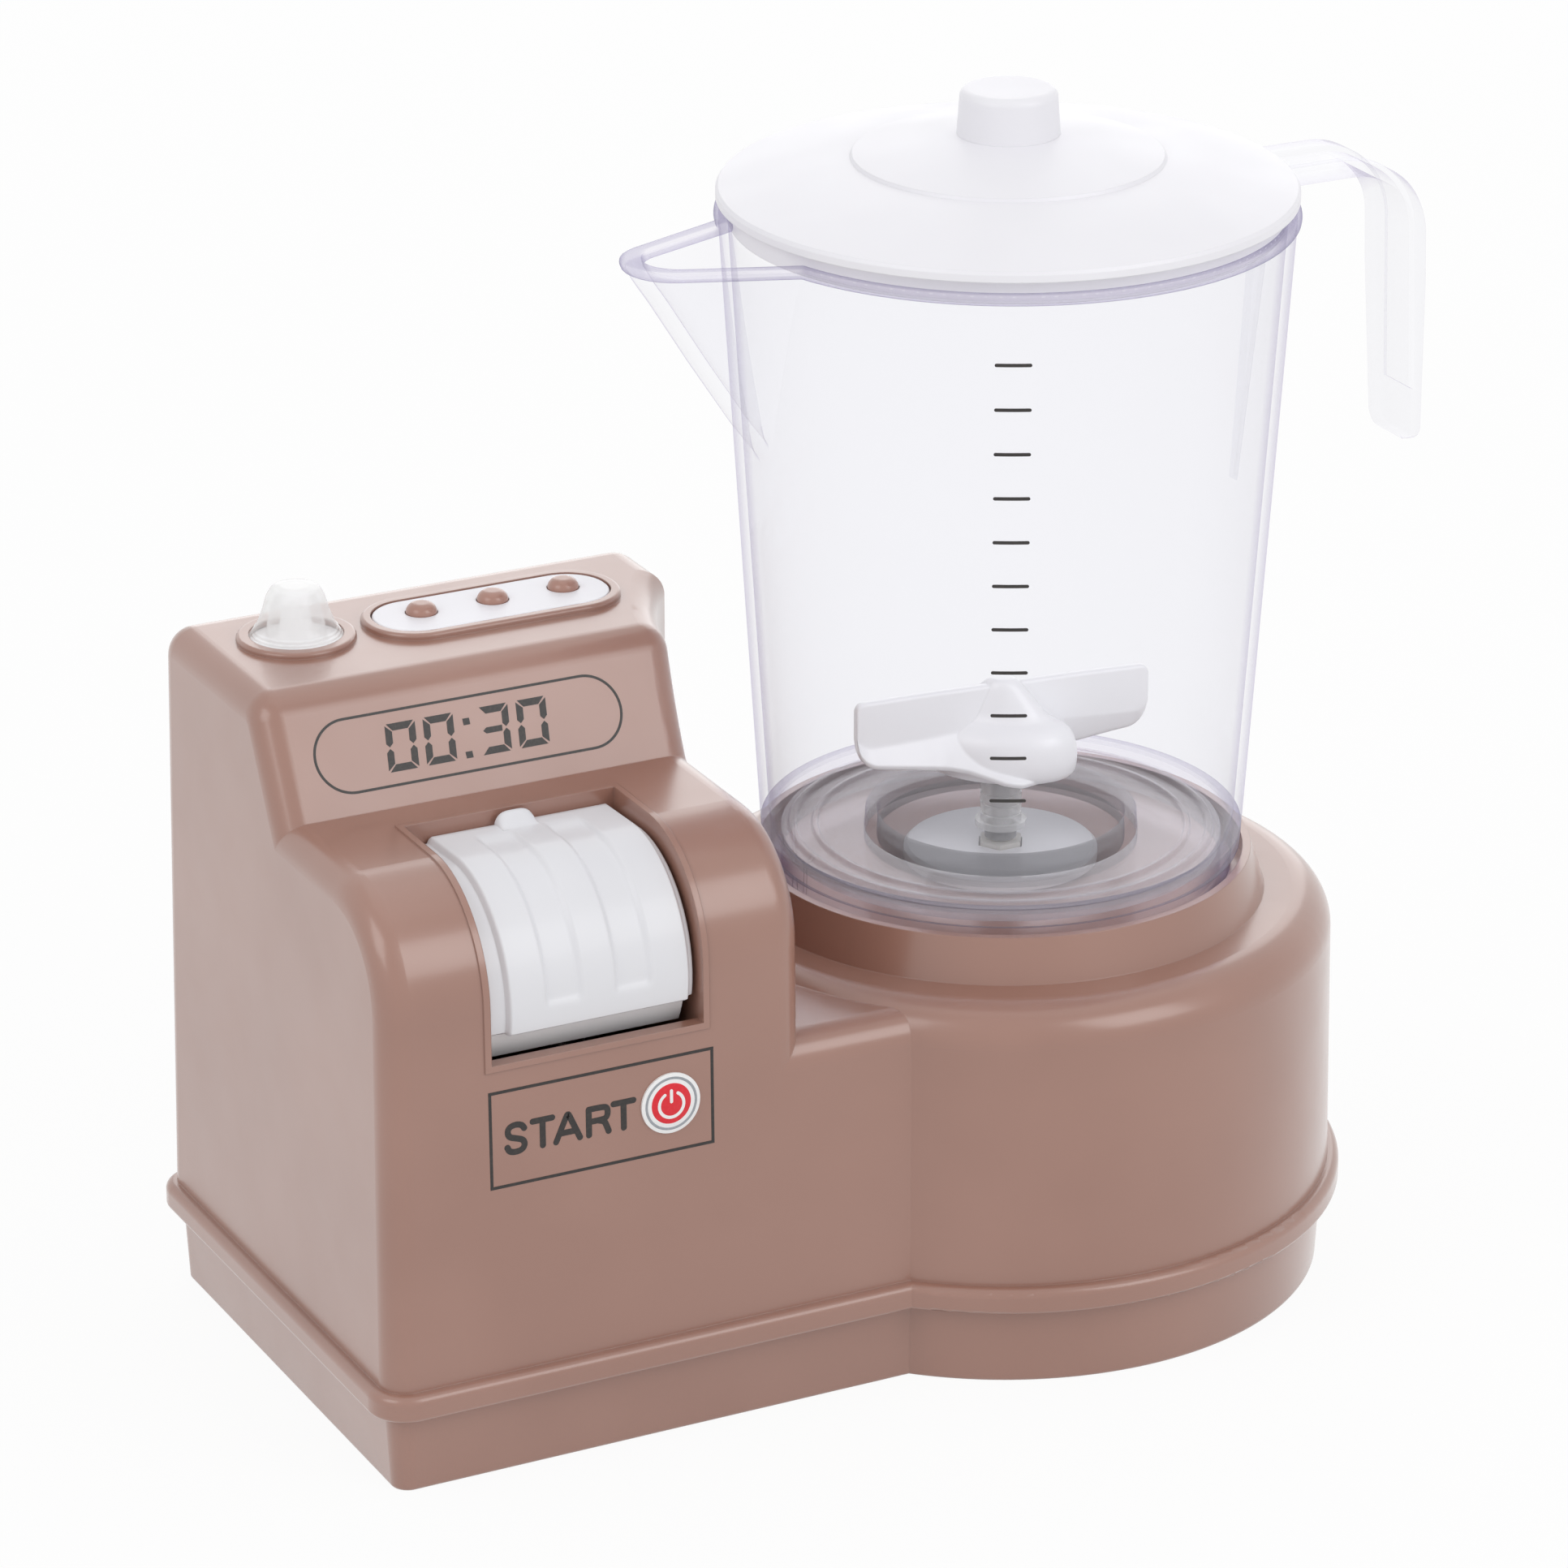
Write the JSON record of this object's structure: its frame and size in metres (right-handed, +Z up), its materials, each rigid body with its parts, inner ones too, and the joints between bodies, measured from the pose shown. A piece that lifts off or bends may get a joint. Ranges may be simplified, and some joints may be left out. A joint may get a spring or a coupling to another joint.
{
  "type": "toy blender",
  "caption": "Toy blender: a base with a lever, lamp and push buttons, and a clear pouring jug with a lid, strap handle and an impeller that a geared battery motor turns.",
  "frame": {"origin": "on the jug's axis, at the underside of the tray", "axes": "+X along the jug's handle, away from the control tower; +Y to the back, away from the lever and the display; +Z up along the jug's axis"},
  "size_m": [0.2045, 0.1138, 0.1999],
  "materials": {
    "body_plastic": "moulded ABS, dusty rose-brown, semi-gloss",
    "white_plastic": "moulded ABS, white, glossy",
    "clear_plastic": "clear moulded polystyrene with a faint lilac tint at its edges",
    "grey_plastic": "moulded ABS, grey, satin",
    "red_plastic": "moulded ABS, red, glossy",
    "dark_plastic": "switch body, black",
    "inner_plastic": "moulded inner part, unpainted, off-white",
    "gear_plastic": "acetal, natural white",
    "bush_plastic": "acetal sleeve, pale grey",
    "silicone": "silicone rubber, translucent grey",
    "board_laminate": "green circuit board laminate",
    "screw_steel": "zinc-plated steel",
    "spring_steel": "nickel-plated spring steel",
    "shaft_steel": "ground steel rod",
    "motor_steel": "zinc-plated motor can",
    "speaker_steel": "paper cone and basket, black",
    "cell_steel": "AA cell in a plain wrapper",
    "bush_brass": "turned brass"
  },
  "bodies": {
    "base": {"upper_housing": "body_plastic", "tray": "body_plastic", "housing_screws": "screw_steel", "battery_door": "body_plastic", "door_screw": "screw_steel", "batteries": "cell_steel", "battery_contacts": "spring_steel", "speaker": "speaker_steel", "gear_plate": "inner_plastic", "gear_screws": "screw_steel", "shaft_bush": "bush_brass", "idler_pin": "shaft_steel", "motor_can": "motor_steel", "motor_end_cap": "inner_plastic", "lever_pin": "shaft_steel", "lever_spring": "spring_steel", "lever_switch": "dark_plastic", "button_plate": "white_plastic", "circuit_board": "board_laminate", "board_screws": "screw_steel", "lamp_led": "clear_plastic", "lamp_lens": "clear_plastic", "button_dome_1": "silicone", "button_dome_2": "silicone", "button_dome_3": "silicone"},
    "drive": {"drive_disc": "white_plastic", "drive_shaft": "shaft_steel", "output_gear": "gear_plastic"},
    "idler": {"idler_gear": "gear_plastic"},
    "motor_rotor": {"motor_shaft": "shaft_steel", "motor_pinion": "bush_brass"},
    "jug": {"jug": "clear_plastic", "jug_bush": "bush_plastic"},
    "impeller": {"impeller": "white_plastic", "impeller_shaft": "shaft_steel", "jug_coupling": "gear_plastic"},
    "lid": {"lid": "white_plastic"},
    "lever": {"start_lever": "white_plastic", "lever_rocker": "grey_plastic"},
    "button_1": {"button_1": "grey_plastic"},
    "button_2": {"button_2": "grey_plastic"},
    "button_3": {"button_3": "red_plastic"}
  },
  "joints": [
    {"name": "drive_spin", "type": "hinge", "parent": "base", "child": "drive", "pos_m": [0, 0, 0.06], "axis": [0, 0, 1], "continuous": true},
    {"name": "idler_spin", "type": "hinge", "parent": "base", "child": "idler", "pos_m": [-0.0144, 0, 0.05], "axis": [0, 0, 1], "continuous": true},
    {"name": "motor_spin", "type": "hinge", "parent": "base", "child": "motor_rotor", "pos_m": [-0.0144, 0.0138, 0.05], "axis": [0, 0, 1], "continuous": true},
    {"name": "jug_lift", "type": "slide", "parent": "base", "child": "jug", "axis": [0, 0, 1], "range_m": [0, 0.04]},
    {"name": "impeller_spin", "type": "hinge", "parent": "jug", "child": "impeller", "pos_m": [0, 0, 0.09], "axis": [0, 0, 1], "continuous": true},
    {"name": "lid_lift", "type": "slide", "parent": "jug", "child": "lid", "axis": [0, 0, 1], "range_m": [0, 0.025]},
    {"name": "lever_turn", "type": "hinge", "parent": "base", "child": "lever", "pos_m": [-0.0918, -0.0194, 0.0773], "axis": [1, 0, 0], "range_deg": [0, 28], "stiffness_Nm_per_rad": 0.08, "springref_deg": -6.88, "deforming": ["lever_spring"]},
    {"name": "button_1_press", "type": "slide", "parent": "base", "child": "button_1", "axis": [0, 0, 1], "range_m": [-0.001, 0], "stiffness_N_per_m": 400, "springref_m": 0.0004, "deforming": ["button_dome_1"]},
    {"name": "button_2_press", "type": "slide", "parent": "base", "child": "button_2", "axis": [0, 0, 1], "range_m": [-0.001, 0], "stiffness_N_per_m": 400, "springref_m": 0.0004, "deforming": ["button_dome_2"]},
    {"name": "button_3_press", "type": "slide", "parent": "base", "child": "button_3", "axis": [0, 0, 1], "range_m": [-0.001, 0], "stiffness_N_per_m": 400, "springref_m": 0.0004, "deforming": ["button_dome_3"]}
  ],
  "couplings": [
    {"joint": "idler_spin", "follows": "drive_spin", "ratio": -3},
    {"joint": "motor_spin", "follows": "drive_spin", "ratio": 10.8},
    {"joint": "impeller_spin", "follows": "drive_spin", "ratio": 1}
  ]
}
